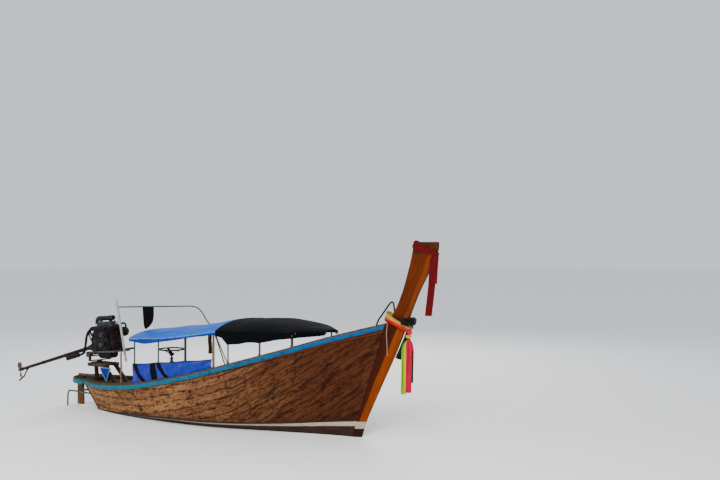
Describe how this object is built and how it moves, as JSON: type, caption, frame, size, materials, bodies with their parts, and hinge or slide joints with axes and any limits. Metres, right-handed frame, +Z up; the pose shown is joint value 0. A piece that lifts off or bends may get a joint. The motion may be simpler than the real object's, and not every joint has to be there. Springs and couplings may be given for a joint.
{
  "type": "longtail boat",
  "caption": "Open wooden longtail boat with a high raked prow, low cloth canopy, and an inboard-style engine on a stern swivel driving a propeller on a long tail.",
  "frame": {"origin": "on the centreline at the waterline amidships", "axes": "+X to the bow, +Y to port, +Z up"},
  "size_m": [9.7381, 1.6862, 3.467],
  "materials": {
    "hull_wood": "oiled and weathered planks",
    "stem_wood": "oiled and worn timber",
    "dark_wood": "weathered, stained",
    "pale_wood": "bare, weathered",
    "bottom_paint": "painted, dull",
    "rail_paint": "painted, satin",
    "black_wood": "painted black",
    "castings": "oily, dull",
    "covers": "worn",
    "tail_metal": "galvanised, worn",
    "steel": "rust-spotted",
    "black_iron": "painted black, worn",
    "rusty_steel": "rusted",
    "pipe_paint": "dull paint",
    "bronze": "polished by use",
    "wheel_plastic": "worn",
    "hose": "dull",
    "blue_canvas": "woven tarpaulin",
    "black_canvas": "woven canvas",
    "blue_sheet": "glossy coated sheet",
    "ribbon_cloth": "satin ribbon",
    "black_cloth": "matt cloth"
  },
  "bodies": {
    "hull": {"keel": "bottom_paint", "bottom_planking": "bottom_paint", "side_planking_starboard": "hull_wood", "side_planking_port": "hull_wood", "rub_rail_starboard": "rail_paint", "rub_rail_port": "rail_paint", "gunwale_cap_starboard": "dark_wood", "gunwale_cap_port": "dark_wood", "ribs_starboard": "dark_wood", "ribs_port": "dark_wood", "transom": "hull_wood", "stem_and_prow": "stem_wood", "stern_shelf": "dark_wood", "stern_rail": "rail_paint", "floor_boards": "dark_wood", "stern_deck": "dark_wood", "bow_deck": "dark_wood", "thwart_aft": "pale_wood", "thwart_middle": "pale_wood", "thwart_fore": "pale_wood", "mooring_crosspiece": "black_wood", "bow_hoop": "steel", "prow_head_band": "ribbon_cloth", "prow_sashes": "ribbon_cloth", "sash_tails": "ribbon_cloth", "prow_ribbon": "ribbon_cloth", "rudder_bracket": "steel", "stern_step": "steel", "stern_pole": "pale_wood", "engine_bed": "dark_wood", "swivel_base": "black_iron", "canopy_side_starboard": "pipe_paint", "canopy_side_port": "pipe_paint", "canopy_bows": "pipe_paint", "canopy_cloth_aft": "blue_canvas", "canopy_cloth_fore": "black_canvas", "side_sheet": "blue_sheet", "hanging_cloth": "black_cloth", "arch_pole": "pale_wood", "aft_arch": "pipe_paint", "pennant": "black_cloth", "helm_column": "dark_wood"},
    "swivel": {"swivel_yoke": "black_iron"},
    "tail": {"engine_cradle": "steel", "engine_block": "castings", "rocker_cover": "covers", "bell_housing": "castings", "tail_tube": "tail_metal", "exhaust": "rusty_steel", "air_cleaner": "covers", "belt_pulleys": "castings", "alternator": "covers", "cooling_hose": "hose", "tiller_handle": "steel", "propeller_skeg": "steel"},
    "propeller": {"propeller": "bronze"},
    "rudder": {"rudder": "hull_wood", "rudder_crosshead": "steel"},
    "steering_wheel": {"steering_wheel": "wheel_plastic"}
  },
  "joints": [
    {"name": "tail_swing", "type": "hinge", "parent": "hull", "child": "swivel", "pos_m": [-2.92, 0, 0.96], "axis": [0, 0, 1], "range_deg": [-33, 57]},
    {"name": "tail_tilt", "type": "hinge", "parent": "swivel", "child": "tail", "pos_m": [-2.92, 0, 0.96], "axis": [0.2079, 0.9781, 0], "range_deg": [-12, 11]},
    {"name": "propeller_spin", "type": "hinge", "parent": "tail", "child": "propeller", "pos_m": [-5.73735, 0.59885, 0.40089], "axis": [0.9491, -0.2017, 0.2419], "continuous": true},
    {"name": "wheel_turn", "type": "hinge", "parent": "hull", "child": "steering_wheel", "pos_m": [-0.99, -0.25, 1.085], "axis": [0, 0, 1], "range_deg": [-270, 270]},
    {"name": "rudder_turn", "type": "hinge", "parent": "hull", "child": "rudder", "pos_m": [-3.36, 0, 0], "axis": [0, 0, 1], "range_deg": [-35, 35]}
  ],
  "couplings": [
    {"joint": "rudder_turn", "follows": "wheel_turn", "ratio": -0.12963}
  ]
}
